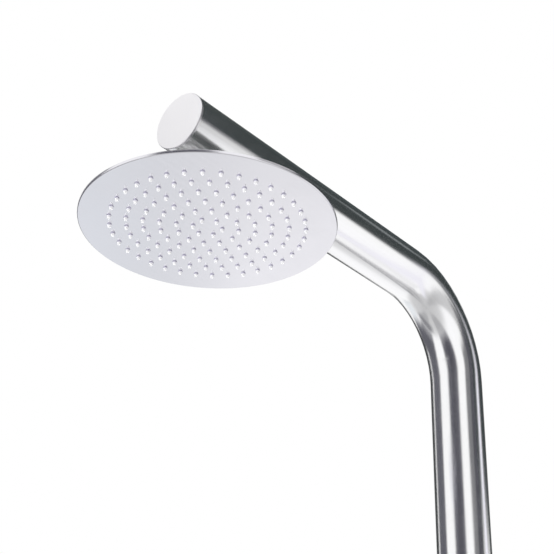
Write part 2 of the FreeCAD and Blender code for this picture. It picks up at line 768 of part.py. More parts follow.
def pressed_crown(lift):
    """What lies under the back shell's pressed line: chamber step, shallow cone and crown."""
    step_r = HEAD_R - CHAMBER_BORDER
    chamber_r = step_r - CHAMBER_STEP
    foot_r, flat_r = CROWN_FOOT / 2, CROWN_FLAT / 2
    base = FACE_BACK - lift
    chamber = base - CHAMBER_RISE
    foot = chamber - CHAMBER_PITCH
    top = CROWN_TOP + SHEET - lift
    middle_r, middle = (foot_r + flat_r) / 2, (foot + top) / 2
    out, rise = CROWN_SLACK * (foot_r - middle_r), CROWN_BOW * (foot - middle)
    return joint_turned(
        [
            (0, base),
            (step_r, base),
            (chamber_r, chamber),
            (foot_r, foot),
            (middle_r, middle, middle_r + out, middle + rise),
            (flat_r, top, middle_r - out, middle - rise),
            (0, top),
        ]
    )


def head_back_shell():
    """The pressed back of the head: flat rim, water chamber and crown, holed for the stud."""
    outside = joint_rod(SHELL_R, RIM_TOP, FACE_BACK).fuse(pressed_crown(SHEET))
    return outside.cut([pressed_crown(0), joint_rod(STUD_OD / 2 + SLIP, 0, FACE_BACK)])


def nozzle_centres():
    """Where the nozzles stand about the head's axis: each ring has six more than the one inside it."""
    for ring_number in range(RING_COUNT):
        radius = FIRST_RING + ring_number * RING_PITCH
        count = 6 * (ring_number + 1)
        for step in range(count):
            angle = math.radians(RING_RAY) + 2 * math.pi * step / count
            yield V(math.cos(angle), math.sin(angle), 0) * radius


def in_head(shape, depth):
    """A shape drawn level about the origin, moved to the head's axis at a depth below the arm."""
    return shape.translated(OUTLET_CENTRE + DOWN * depth)


def head_face_plate():
    """The face with its nozzle holes and its turned-up, rounded edge."""
    flat_r = HEAD_R - RIM_LIP
    sag = RIM_ROUND * (1 - math.sqrt(0.5))
    lip = joint_turned(
        [
            (flat_r, FACE_LOW),
            (HEAD_R - RIM_ROUND, FACE_LOW),
            (HEAD_R, FACE_LOW - RIM_ROUND, HEAD_R - sag, FACE_LOW - sag),
            (HEAD_R, RIM_TOP),
            (flat_r, RIM_TOP),
        ]
    )
    holes = [polygon(NOZZLE_SIDES, NOZZLE_ROOT / 2 + SLIP, centre) for centre in nozzle_centres()]
    sheet = flat_face([circle(flat_r)] + holes).extrude(UP * SHEET)
    return lip.fuse(in_head(sheet, FACE_LOW)).removeSplitter()


def nozzle_mat():
    """The silicone mat behind the face, with a tapered nozzle out through each hole."""
    mat = flat_face([circle(MAT_R)]).extrude(UP * MAT_THICK)
    nozzles = []
    for centre in nozzle_centres():
        root = polygon(NOZZLE_SIDES, NOZZLE_ROOT / 2, centre)
        tip = polygon(NOZZLE_SIDES, NOZZLE_TIP / 2, centre + DOWN * (SHEET + NOZZLE_OUT))
        nozzles.append(Part.makeLoft([root, tip], True, True))
    return in_head(mat.fuse(nozzles), FACE_BACK)


# ---- Writing the pieces --------------------------------------------------------------------------

PIECES = {
    "post_tube": post_tube,
    "end_cap": end_cap,
    "base_flange": base_flange,
    "inlet_saddle": lambda: nipple_saddle(INLET_CENTRE, BACK),
    "inlet_nipple": lambda: nipple(INLET_THREAD, INLET_CENTRE, BACK),
    "inlet_elbow": lambda: elbow(INLET_CENTRE, BACK, UP),
    "outlet_saddle": lambda: nipple_saddle(OUTLET_CENTRE, DOWN),
    "outlet_nipple": lambda: nipple(OUTLET_THREAD, OUTLET_CENTRE, DOWN),
    "outlet_elbow": lambda: elbow(OUTLET_CENTRE, DOWN, BACK),
    "supply_hose_lower": supply_hose_lower,
    "supply_hose_upper": supply_hose_upper,
    "hose_ferrules": hose_ferrules,
    "valve_body": valve_body,
    "valve_saddle": valve_saddle,
    "valve_housing": valve_housing,
    "cartridge_seal": cartridge_seal,
    "fixed_disc": fixed_disc,
    "turning_disc": turning_disc,
    "valve_cartridge": valve_cartridge,
    "valve_spindle": valve_spindle,
    "bonnet_nut": bonnet_nut,
    "handle_glide_ring": handle_glide_ring,
    "handle_knob": handle_knob,
    "handle_lever": handle_lever,
    "handle_screw": handle_screw,
    "filter_screen": filter_screen,
    "ball_seal": ball_seal,
    "ball_seat": ball_seat,
    "swivel_collar": swivel_collar,
    "swivel_ball": swivel_ball,
    "flow_restrictor": flow_restrictor,
    "head_gasket": head_gasket,
    "head_lock_nut": head_lock_nut,
    "head_back_shell": head_back_shell,
    "head_face_plate": head_face_plate,
    "nozzle_mat": nozzle_mat,
}

os.makedirs("parts", exist_ok=True)
for name, make in PIECES.items():
    shape = make()
    print(f"{name}: {len(shape.Solids)} solid(s), {shape.Volume:.1f} mm3, valid {shape.isValid()}")
    shape.exportStep(f"parts/{name}.step")
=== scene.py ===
import math

import bmesh
import bpy
from mathutils import Matrix, Vector


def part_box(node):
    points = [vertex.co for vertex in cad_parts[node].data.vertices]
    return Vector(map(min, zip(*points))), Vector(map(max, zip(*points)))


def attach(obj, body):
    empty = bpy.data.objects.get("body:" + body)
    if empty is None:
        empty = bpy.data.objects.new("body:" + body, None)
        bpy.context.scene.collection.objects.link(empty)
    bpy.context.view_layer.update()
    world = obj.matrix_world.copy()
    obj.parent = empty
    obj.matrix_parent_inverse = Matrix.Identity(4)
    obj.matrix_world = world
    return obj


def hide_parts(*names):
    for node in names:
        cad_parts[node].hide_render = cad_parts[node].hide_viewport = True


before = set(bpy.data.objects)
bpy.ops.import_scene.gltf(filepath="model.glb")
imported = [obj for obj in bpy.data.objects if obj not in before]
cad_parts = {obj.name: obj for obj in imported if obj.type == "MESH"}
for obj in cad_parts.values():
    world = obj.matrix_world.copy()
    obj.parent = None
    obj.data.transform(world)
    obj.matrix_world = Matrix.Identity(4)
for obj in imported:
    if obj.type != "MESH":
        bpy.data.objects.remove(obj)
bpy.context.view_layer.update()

SCENE = bpy.context.scene

# ---- Places and sizes, in metres -----------------------------------------------------------------

TURN = 2 * math.pi

CAP_LOW, CAP_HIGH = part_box("end_cap")
TUBE_R = CAP_HIGH.x
ARM_HEIGHT = (CAP_LOW.z + CAP_HIGH.z) / 2
BEND_RADIUS = 0.087

# Head and ball joint
PLATE_LOW, PLATE_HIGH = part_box("head_face_plate")
HEAD_R = PLATE_HIGH.x
HEAD_Y = (PLATE_LOW.y + PLATE_HIGH.y) / 2
HEAD_AXIS = Vector((0, HEAD_Y, 0))
FACE_LOW = PLATE_LOW.z
RIM_TOP = PLATE_HIGH.z
CROWN_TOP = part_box("head_back_shell")[1].z
SHEET = 0.0012
FACE_BACK = FACE_LOW + SHEET
RIM_LIP = 0.0013
RIM_ROUND = 0.0009
RIM_HOLD = 0.0002  # flat strip that keeps the face level up to its rounding
RIM_EDGE = 0.0002  # broken edge at the rim's top
FACE_BORDER = 0.012  # ring outside the sheet that the holes are in
SHELL_GAP = 0.0001  # between the pressed back's edge and the rim
CROWN_FLAT = 0.024
CROWN_FOOT = 0.076
CROWN_SLACK = 0.45
CROWN_BOW = 0.66
CHAMBER_BORDER = 0.017
CHAMBER_STEP = 0.0025
CHAMBER_RISE = 0.0024
CHAMBER_PITCH = 0.0017
PRESS_ROUND = 0.0012  # rounding of the pressed step
PRESS_EDGE = 0.0003  # drop of that rounding
PRESS_LEAD = 0.00004  # what is left of the chamber's slope where that rounding begins
STUD_HOLE_R = 0.0061

COLLAR_LOW, COLLAR_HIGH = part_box("swivel_collar")
COLLAR_FLAT_R = COLLAR_HIGH.y - HEAD_Y
COLLAR_HEX = 0.0115
COLLAR_EDGE = 0.0015
COLLAR_NOSE_R = 0.0116
COLLAR_NOSE_EDGE = 0.0003
COLLAR_NECK = 0.998  # radius where the cone meets the hexagon, as a share of its flats
COLLAR_MOUTH_EDGE = 0.0007
COLLAR_ROWS = (0, 0.04, 0.09, 0.15, 0.85, 0.91, 0.96, 1)  # shares of the hexagon's height
LIP_R = 0.0084
LIP_THICK = 0.0017
PIPE_R = 0.0104775
SEAT_POCKET_R = 0.01045
SEAT_DEPTH = 0.0099

# Nozzles: rings of 6, 12, 18 ... with one nozzle of each ring on a shared ray
MAT_LOW, MAT_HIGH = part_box("nozzle_mat")
MAT_R = MAT_HIGH.x
RING_COUNT = 6
RING_GROWTH = 6
FIRST_RING = 0.0115
NOZZLE_BORDER = 0.0245
RING_RAY = math.radians(50.7)
HOLE_R = 0.00188
HOLE_EDGE = 0.00008  # broken edge of each hole
NOZZLE_ROOT_R = 0.00182
NOZZLE_TIP_R = 0.00112
NOZZLE_LIP = 0.00025  # rounding at the tip
NOZZLE_BORE_R = 0.00062
NOZZLE_BORE_DEPTH = 0.0018
NOZZLE_BORE_EDGE = 0.0001

# Valve, inlet and base
VALVE_LOW, VALVE_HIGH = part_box("valve_housing")
VALVE_HEIGHT = (VALVE_LOW.z + VALVE_HIGH.z) / 2
LEVER_LOW, LEVER_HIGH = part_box("handle_lever")
LEVER_Y = (LEVER_LOW.y + LEVER_HIGH.y) / 2
NIPPLE_LOW, NIPPLE_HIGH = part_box("inlet_nipple")
INLET_HEIGHT = (NIPPLE_LOW.z + NIPPLE_HIGH.z) / 2
NIPPLE_START = NIPPLE_LOW.y
NIPPLE_END = NIPPLE_HIGH.y
NIPPLE_BORE_R = 0.005
NIPPLE_STUD_R = 0.00693
NIPPLE_THREAD = 0.014
FLANGE_THICK = 0.004
FLANGE_FLAT_R = NIPPLE_HIGH.z - INLET_HEIGHT
FLANGE_ROWS = (0, 0.08, 0.16, 0.26, 0.74, 0.84, 0.92, 1)  # shares of the flange's thickness
THREAD_PITCH = 0.001814  # G 1/2
THREAD_DEPTH = 0.00116
THREAD_CHAMFER = 0.001
THREAD_ROWS = 10  # rows of points in each turn
THREAD_OFFSET = 2e-6  # keeps the thread's first row off the flange's last
HUB_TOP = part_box("base_flange")[1].z

# ---- Camera, at the photograph's viewpoint -------------------------------------------------------

CAMERA_PLACE = Vector((0.5532, -0.8992, 1.6000))
CAMERA_HEADING = 0.7220  # from +Y towards -X
CAMERA_PITCH = 0.5053
CAMERA_ROLL = 0.0342
CAMERA_LENS = 75.218
CAMERA_SENSOR = 36.0


def add_camera():
    """The camera looks up at the arm's end from below and in front, with no shift."""
    data = bpy.data.cameras.new("camera")
    data.lens = CAMERA_LENS
    data.sensor_width = CAMERA_SENSOR
    camera = bpy.data.objects.new("camera", data)
    SCENE.collection.objects.link(camera)
    level = math.cos(CAMERA_PITCH)
    heading = (-math.sin(CAMERA_HEADING) * level, math.cos(CAMERA_HEADING) * level)
    forward = Vector((heading[0], heading[1], math.sin(CAMERA_PITCH)))
    right = forward.cross(Vector((0, 0, 1))).normalized()
    up = right.cross(forward)
    turn = Matrix.Rotation(-CAMERA_ROLL, 3, forward)
    axes = Matrix((turn @ right, turn @ up, -forward)).transposed()
    camera.matrix_world = Matrix.Translation(CAMERA_PLACE) @ axes.to_4x4()
    SCENE.camera = camera


# ---- Node helpers --------------------------------------------------------------------------------


class Graph:
    """A node tree with short calls for the nodes that the materials use."""

    def __init__(self, tree):
        self.tree = tree
        tree.nodes.clear()

    def add(self, kind, inputs=None, **settings):
        node = self.tree.nodes.new(kind)
        for key, value in settings.items():
            setattr(node, key, value)
        for key, value in (inputs or {}).items():
            self.feed(node.inputs[key], value)
        return node

    def feed(self, socket, value):
        if isinstance(value, bpy.types.NodeSocket):
            self.tree.links.new(value, socket)
        elif isinstance(value, bpy.types.Node):
            self.tree.links.new(value.outputs[0], socket)
        else:
            socket.default_value = value

    def math(self, operation, *values):
        node = self.add("ShaderNodeMath", operation=operation)
        for number, value in enumerate(values):
            self.feed(node.inputs[number], value)
        return node.outputs[0]

    def combine(self, x, y, z):
        return self.add("ShaderNodeCombineXYZ", {"X": x, "Y": y, "Z": z}).outputs[0]

    def noise(self, vector, scale, detail=2.0, roughness=0.5):
        inputs = {"Vector": vector, "Scale": scale, "Detail": detail, "Roughness": roughness}
        return self.add("ShaderNodeTexNoise", inputs).outputs["Fac"]

    def spread(self, value, low, high, out_low, out_high):
        inputs = {"Value": value, "From Min": low, "From Max": high, "To Min": out_low, "To Max": out_high}
        return self.add("ShaderNodeMapRange", inputs).outputs["Result"]

    def ramp(self, value, stops, interpolation="LINEAR"):
        """A colour by value, from stops of a position and a colour."""
        node = self.add("ShaderNodeValToRGB", {"Fac": value})
        node.color_ramp.interpolation = interpolation
        elements = node.color_ramp.elements
        for number, (position, colour) in enumerate(stops):
            stop = elements[number] if number < 2 else elements.new(position)
            stop.position, stop.color = position, (*colour, 1)
        return node.outputs["Color"]

    def spot(self):
        """The point's own place, which rides with its body."""
        return self.add("ShaderNodeTexCoord").outputs["Object"]

    def place(self):
        """The same place, as its X, Y and Z."""
        return self.add("ShaderNodeSeparateXYZ", {"Vector": self.spot()}).outputs

    def length(self, a, b):
        """The diagonal of two distances at right angles."""
        squares = self.math("ADD", self.math("MULTIPLY", a, a), self.math("MULTIPLY", b, b))
        return self.math("SQRT", squares)


def new_material(name):
    material = bpy.data.materials.new(name)
    material.use_nodes = True
    graph = Graph(material.node_tree)
    return material, graph


def finish_material(material, graph, shader):
    graph.add("ShaderNodeOutputMaterial", {"Surface": shader})
    return material


# ---- Room: world, floor, cards and lamps ---------------------------------------------------------

ROOM_AMBIENT = 0.98
LAMPS = (
    # name, place, size, power
    ("key", (-2.2, -2.6, 3.6), 2.6, 30.0),
    ("fill", (3.0, -1.5, 2.2), 2.6, 10.0),
    ("low", (-1.2, -2.4, 0.5), 1.6, 44.0),
)
LAMP_AIM = Vector((0, -0.1, 1.2))


def seen_directly(graph):
    """1 for camera, glossy and transmission rays, which see the white background."""
    path = graph.add("ShaderNodeLightPath").outputs
    direct = graph.math("MAXIMUM", path["Is Camera Ray"], path["Is Glossy Ray"])
    return graph.math("MAXIMUM", direct, path["Is Transmission Ray"])


def add_world():
    """White where it is seen, and a plain soft ambient light for everything else."""
    world = bpy.data.worlds.new("studio")
    world.use_nodes = True
    graph = Graph(world.node_tree)
    strength = graph.spread(seen_directly(graph), 0.0, 1.0, ROOM_AMBIENT, 1.0)
    light = graph.add("ShaderNodeBackground", {"Color": (1, 1, 1, 1), "Strength": strength})
    graph.add("ShaderNodeOutputWorld", {"Surface": light})
    SCENE.world = world


def link(name, mesh):
    thing = bpy.data.objects.new(name, mesh)
    SCENE.collection.objects.link(thing)
    return thing


FLOOR_R = 14.0
FLOOR_STEPS = 96
FLOOR_GREY = 0.86
FLOOR_FADE = (0.6, 3.5)  # where the floor's shading fades into the white backdrop
FLOOR_GLOW = (0.15, 1.0)  # how white it is nearer than that and further out
FLOOR_LOOK = 10.0  # distance that the shares below are measured by
FLOOR_SHEEN = (
    # share of FLOOR_LOOK, and the floor's colour there in reflections
    (0.0, (0.56, 0.56, 0.5656)),
    (0.14, (0.62, 0.62, 0.6262)),
    (0.34, (1.0, 1.0, 1.01)),
)


def floor_material():
    """Matte near the post and white further out. Reflections see a plain grey that pales with distance."""
    material, graph = new_material("floor_white")
    place = graph.place()
    away = graph.length(place["X"], place["Y"])
    glow = graph.math("MULTIPLY", graph.spread(away, *FLOOR_FADE, *FLOOR_GLOW), seen_directly(graph))
    matte = graph.add("ShaderNodeBsdfDiffuse", {"Color": (FLOOR_GREY, FLOOR_GREY, FLOOR_GREY, 1)})
    white = graph.add("ShaderNodeEmission", {"Color": (1, 1, 1, 1), "Strength": 1.0})
    seen = graph.add("ShaderNodeMixShader", {0: glow, 1: matte.outputs[0], 2: white.outputs[0]})
    tone = graph.ramp(graph.math("DIVIDE", away, FLOOR_LOOK), FLOOR_SHEEN, "EASE")
    sheen = graph.add("ShaderNodeEmission", {"Color": tone, "Strength": 1.0})
    reflected = graph.add("ShaderNodeLightPath").outputs["Is Glossy Ray"]
    shader = graph.add("ShaderNodeMixShader", {0: reflected, 1: seen.outputs[0], 2: sheen.outputs[0]})
    material.cycles.emission_sampling = "NONE"
    return finish_material(material, graph, shader)


def add_floor():
    """A wide pale floor. It keeps the post's shadow and fades to white further out."""
    mesh = bpy.data.meshes.new("floor")
    build = bmesh.new()
    bmesh.ops.create_circle(build, cap_ends=True, segments=FLOOR_STEPS, radius=FLOOR_R)
    build.to_mesh(mesh)
    build.free()
    floor = link("floor", mesh)
    mesh.materials.append(floor_material())


# Curved cards round the post, seen only in reflections: the studio's dark and pale walls. Each stands on a
# line of points, from one end to the other, and is drawn out between two azimuths, from +Y towards +X, in
# degrees. A point is its distance from the post, its height and how much the card covers there.


def upright(distance, *heights, cover=1.0):
    """A line at one distance that fades in over its first two heights and out over its last two."""
    return tuple((distance, height, share) for height, share in zip(heights, (0.0, cover, cover, 0.0)))


FOOT = (
    (0.2, 0.02, 0.0),
    (1.0, 0.02, 0.4),
    (2.2, 0.05, 0.4),
    (2.3, 0.2, 0.55),
    (2.3, 0.5, 0.8),
    (2.3, 1.3, 1.0),
)
TALL = ((2.3, 3.3, 1.0), (2.3, 3.7, 0.0))
FLOOR_LEFT = ((1.2, 0.06, 0.0), (1.7, 0.06, 0.65), (2.25, 0.06, 0.65))
FLOOR_PALE = ((1.1, 0.025, 0.0), (1.5, 0.025, 1.0), (2.28, 0.025, 1.0))
OVERHEAD = ((0.02, 4.6, 1.0), (1.0, 4.55, 1.0), (1.5, 4.5, 0.0))
OVERHEAD_DARK = ((0.02, 4.6, 1.0), (1.2, 4.9, 1.0), (2.2, 5.4, 1.0), (2.3, 5.2, 0.0))
CARDS = (
    # name, azimuths, soft sides, line, colour
    ("left_near", (-137, -92), 9, FOOT + TALL, (0.118, 0.118, 0.138)),
    ("left_far", (-84, -44), 6, ((2.32, 2.1, 0.0), (2.32, 2.4, 1.0)) + TALL, (0.055, 0.058, 0.06)),
    ("left_low", (-96, -72), 8, upright(2.31, 0.3, 1.6, 2.2, 2.4), (0.118, 0.118, 0.138)),
    ("top_grey", (-44, -12), 10, ((2.3, 2.3, 0.0), (2.3, 2.7, 1.0)) + TALL, (0.42, 0.42, 0.43)),
    ("cool", (-80, -53), 14, upright(2.28, 0.05, 0.3, 1.3, 1.8), (0.81, 0.84, 0.87)),
    ("behind", (139, 183), 8, FOOT + TALL, (0.102, 0.1, 0.121)),
    ("behind_dark", (152, 168), 8, ((2.3, 0.3, 0.0), (2.3, 1.3, 1.0)) + TALL, (0.064, 0.063, 0.076)),
    ("right", (60, 84), 6, ((2.3, 1.95, 0.0), (2.3, 2.45, 1.0)) + TALL, (0.075, 0.075, 0.09)),
    ("right_low", (60, 84), 8, FOOT[:4] + ((2.3, 1.6, 0.5), (2.3, 2.4, 0.4)), (0.16, 0.16, 0.165)),
    ("right_pale", (80, 106), 6, ((2.31, 1.95, 0.0), (2.31, 2.45, 1.0)) + TALL, (0.19, 0.19, 0.2)),
    ("far", (-20, 14), 8, upright(2.38, 0.3, 0.9, 3.2, 3.5), (0.16, 0.16, 0.165)),
    ("far_top", (-22, 12), 10, ((2.37, 2.2, 0.0), (2.37, 2.6, 1.0)) + TALL, (0.05, 0.055, 0.055)),
    # The dark bands along the arm, and the light line inside them
    ("above", (-4, 66), 5, upright(2.2, 2.3, 2.75, 5.4, 5.7), (0.046, 0.054, 0.055)),
    ("above_left", (-40, 6), 12, upright(2.2, 3.3, 3.9, 5.4, 5.7), (0.06, 0.073, 0.076)),
    ("arm_line", (19, 28), 5, upright(2.17, 3.87, 4.02, 4.32, 4.55), (0.31, 0.33, 0.34)),
    # Just over the floor
    ("floor_left", (-150, -84), 10, FLOOR_LEFT, (0.12, 0.12, 0.14)),
    ("floor_pale", (4, 42), 8, FLOOR_PALE, (0.97, 0.97, 0.975)),
    # The bright line by the post's right edge, and the soft streak across the head's face
    ("edge_line", (37, 53), 8, upright(0.4, 1.0, 1.5, 2.22, 2.32), (0.88, 0.87, 0.94)),
    ("streak", (-58, -51), 5, upright(2.26, 0.1, 0.25, 1.1, 1.4, cover=0.2), (0.42, 0.42, 0.43)),
    # Over the post
    ("overhead", (84, 316), 12, OVERHEAD, (0.5, 0.5, 0.52)),
    ("overhead_dark", (-40, 80), 12, OVERHEAD_DARK, (0.06, 0.068, 0.068)),
)
CARD_STEP = 2.0  # degrees
CARD_ROWS = 48  # steps along a card's line


def smooth(share):
    """0 to 1, easing in and out."""
    share = max(0.0, min(1.0, share))
    return share * share * (3 - 2 * share)


def along_line(line, share):
    """The distance, height and cover at a share of a card's line."""
    steps = [math.dist(a[:2], b[:2]) for a, b in zip(line, line[1:])]
    left = share * sum(steps)
    for start, end, step in zip(line, line[1:], steps):
        if left <= step or end == line[-1]:
            part = min(1.0, left / step)
            distance, height = (a + (b - a) * part for a, b in zip(start[:2], end[:2]))
            return distance, height, start[2] + (end[2] - start[2]) * smooth(part)
        left -= step


def card_mesh(name, azimuths, side, line):
    """A curved sheet along the line. Its cover attribute fades its edges out."""
    first, last = azimuths[0] - side / 2, azimuths[1] + side / 2
    across = math.ceil((last - first) / CARD_STEP)
    mesh = bpy.data.meshes.new(name)
    build = bmesh.new()
    layer = build.verts.layers.float.new("cover")
    rows = []
    for j in range(CARD_ROWS + 1):
        distance, height, cover = along_line(line, j / CARD_ROWS)
        row = []
        for i in range(across + 1):
            azimuth = first + (last - first) * i / across
            turn = math.radians(azimuth)
            vertex = build.verts.new((math.sin(turn) * distance, math.cos(turn) * distance, height))
            vertex[layer] = cover * smooth(min(azimuth - first, last - azimuth) / side)
            row.append(vertex)
        rows.append(row)
    for low, high in zip(rows, rows[1:]):
        for i in range(across):
            build.faces.new((low[i], low[i + 1], high[i + 1], high[i]))
    build.to_mesh(mesh)
    build.free()
    return mesh


def card_material(name, colour):
    """A plain shade where the card covers, clear where it doesn't."""
    material, graph = new_material(name)
    cover = graph.add("ShaderNodeAttribute", attribute_name="cover").outputs["Fac"]
    clear = graph.add("ShaderNodeBsdfTransparent")
    shade = graph.add("ShaderNodeEmission", {"Color": (*colour, 1), "Strength": 1.0})
    shader = graph.add("ShaderNodeMixShader", {0: cover, 1: clear.outputs[0], 2: shade.outputs[0]})
    material.cycles.emission_sampling = "NONE"
    return finish_material(material, graph, shader)


def add_card(name, azimuths, side, line, colour):
    """One curved card, which only reflections see."""
    mesh = card_mesh(f"card_{name}", azimuths, side, line)
    mesh.materials.append(card_material(f"card_{name}", colour))
    card = link(f"card_{name}", mesh)
    card.visible_camera = False
    card.visible_diffuse = False
    card.visible_shadow = False
    card.visible_transmission = False


def add_lamp(name, place, size, power):
    """A large soft lamp that faces the middle of the post and doesn't show in reflections."""
    data = bpy.data.lights.new(name, "AREA")
    data.shape = "SQUARE"
    data.size = size
    data.energy = power
    lamp = bpy.data.objects.new(name, data)
    SCENE.collection.objects.link(lamp)
    lamp.location = place
    lamp.rotation_mode = "QUATERNION"
    lamp.rotation_quaternion = (Vector(place) - LAMP_AIM).to_track_quat("Z", "Y")
    lamp.visible_glossy = False


# ---- Materials -----------------------------------------------------------------------------------

NOISE_SPAN = (0.3, 0.7)  # where most of a noise's values lie

# Brushed and turned steel
MARK_STRETCH = 0.012  # scale of the marks along the grain, next to 1 across it
MARK_SCALE = 1500.0
MARK_STRENGTH = 0.35
STREAK_SCALE = 230.0
STREAK_SPAN = (0.25, 0.75)
STREAK_ROUGH = 0.03
PATCH_SCALE = 7.0
PATCH_TINT = 0.012
SMEAR_SCALE = 30.0
SMEAR_SPAN = (0.42, 0.72)
SMEAR_ROUGH = 0.05

# Rubber, plastic, ceramic and cast metal
PLAIN_SCALE = 180.0
PLAIN_FINE_SCALE = 1800.0
PLAIN_ROUGH = 0.05
PLAIN_STRENGTH = 0.05
PLAIN_DEPTH = 0.0001

SILICONE_SCALE = 900.0
SILICONE_MOTTLE = 0.05
SILICONE_PAINTED_SHADE = (
    # share of the way from the face to a nozzle's tip, and the colour there: painted shade, dark at the
    # face and white at the tip
    (0.0, (0.36, 0.35, 0.43)),
    (0.24, (0.62, 0.6, 0.72)),
    (0.46, (0.98, 0.98, 1.0)),
)


def from_the_bend(graph):
    """The point's place, its distances out and up from the bend's centre, 0 or more, and their diagonal."""
    place = graph.place()
    out = graph.math("MAXIMUM", graph.math("ADD", place["Y"], BEND_RADIUS), 0.0)
    up = graph.math("MAXIMUM", graph.math("SUBTRACT", place["Z"], ARM_HEIGHT - BEND_RADIUS), 0.0)
    return place, out, up, graph.length(out, up)


def along_the_tube(graph):
    """Coordinates across and along the bent tube, worked out from its centreline."""
    place, _, _, reach = from_the_bend(graph)
    across = graph.math("SUBTRACT", reach, BEND_RADIUS)
    along = graph.math("SUBTRACT", place["Z"], place["Y"])
    return place["X"], across, along


def tube_normal(graph):
    """The bent tube's true outward direction, so that its facets don't show in the reflections."""
    place, out, up, reach = from_the_bend(graph)
    share = graph.math("DIVIDE", graph.math("SUBTRACT", reach, BEND_RADIUS), reach)
    y, z = graph.math("MULTIPLY", out, share), graph.math("MULTIPLY", up, share)
    outward = graph.combine(place["X"], y, z)
    return graph.add("ShaderNodeVectorMath", {0: outward}, operation="NORMALIZE").outputs[0]


def around(axis, side, middle):
    """Lathe marks about an axis, Y or Z, that lies at X = 0 and at a middle on the third side."""

    def grain(graph):
        place = graph.place()
        off = graph.math("SUBTRACT", place[side], middle)
        return graph.length(place["X"], off), place[axis], graph.math("ARCTAN2", off, place["X"])

    return grain


def straight(first, second, third):
    """Straight brush marks along the third axis."""

    def grain(graph):
        place = graph.place()
        return place[first], place[second], place[third]

    return grain


def shaded(graph, colour, shade):
    """The colour, times a grey."""
    tint = graph.add("ShaderNodeMix", {"Factor": 1.0}, data_type="RGBA", blend_type="MULTIPLY")
    graph.feed(tint.inputs[6], (*colour, 1))
    graph.feed(tint.inputs[7], graph.combine(shade, shade, shade))
    return tint.outputs[2]


def steel(name, colour, roughness, grain, marks_depth=0.000006, bands=0.025, normal=None):
    """Satin steel. grain gives the three coordinates of its brush marks: two across them, one along."""
    material, graph = new_material(name)
    a, b, c = grain(graph)
    whole = graph.combine(a, b, c)
    stretched = graph.combine(a, b, graph.math("MULTIPLY", c, MARK_STRETCH))
    marks = graph.noise(stretched, MARK_SCALE, detail=3.0, roughness=0.6)
    streaks = graph.noise(stretched, STREAK_SCALE)
    patches = graph.noise(whole, PATCH_SCALE)
    smears = graph.noise(whole, SMEAR_SCALE, detail=4.0, roughness=0.62)
    shade = graph.math(
        "ADD",
        graph.spread(streaks, *NOISE_SPAN, 1.0 - bands, 1.0 + bands / 2),
        graph.spread(patches, *NOISE_SPAN, -PATCH_TINT, PATCH_TINT),
    )
    rough = graph.math(
        "ADD",
        graph.spread(streaks, *STREAK_SPAN, roughness - STREAK_ROUGH, roughness + STREAK_ROUGH),
        graph.spread(smears, *SMEAR_SPAN, 0.0, SMEAR_ROUGH),
    )
    relief = {"Strength": MARK_STRENGTH, "Distance": marks_depth, "Height": marks}
    if normal:
        relief["Normal"] = normal(graph)
    inputs = {
        "Base Color": shaded(graph, colour, shade),
        "Metallic": 1.0,
        "Roughness": rough,
        "Normal": graph.add("ShaderNodeBump", relief),
    }
    return finish_material(material, graph, graph.add("ShaderNodeBsdfPrincipled", inputs))


def plain(name, colour, roughness, mottle, metallic=0.0):
    """Rubber, plastic, ceramic and cast metal: fine mottle in colour, roughness and surface."""
    material, graph = new_material(name)
    spot = graph.spot()
    fine = graph.noise(spot, PLAIN_FINE_SCALE, detail=3.0)
    broad = graph.noise(spot, PLAIN_SCALE, detail=3.0)
    shade = graph.spread(broad, *NOISE_SPAN, 1.0 - mottle, 1.0 + mottle)
    spread = graph.spread(fine, *NOISE_SPAN, -PLAIN_ROUGH, PLAIN_ROUGH)
    relief = {"Strength": PLAIN_STRENGTH, "Distance": PLAIN_DEPTH, "Height": fine}
    inputs = {
        "Base Color": shaded(graph, colour, shade),
        "Metallic": metallic,
        "Roughness": graph.math("ADD", spread, roughness),
        "Normal": graph.add("ShaderNodeBump", relief),
    }
    return finish_material(material, graph, graph.add("ShaderNodeBsdfPrincipled", inputs))


def silicone():
    """Milky silicone, with painted shade that darkens each nozzle where it goes into the face, white
    towards its tip.
    """
    material, graph = new_material("silicone")
    # painted shade: each nozzle's colour darkens towards the face, where it goes into its hole
    height = graph.spread(graph.place()["Z"], MAT_LOW.z, FACE_LOW + HOLE_EDGE, 1.0, 0.0)
    fine = graph.noise(graph.spot(), SILICONE_SCALE)
    mottle = graph.spread(fine, *NOISE_SPAN, -SILICONE_MOTTLE, SILICONE_MOTTLE)
    inputs = {
        "Base Color": graph.ramp(graph.math("ADD", height, mottle), SILICONE_PAINTED_SHADE),
        "Roughness": 0.3,
        "Subsurface Weight": 0.35,
        "Subsurface Radius": (0.002, 0.002, 0.002),
        "Subsurface Scale": 1.0,
    }
    return finish_material(material, graph, graph.add("ShaderNodeBsdfPrincipled", inputs))


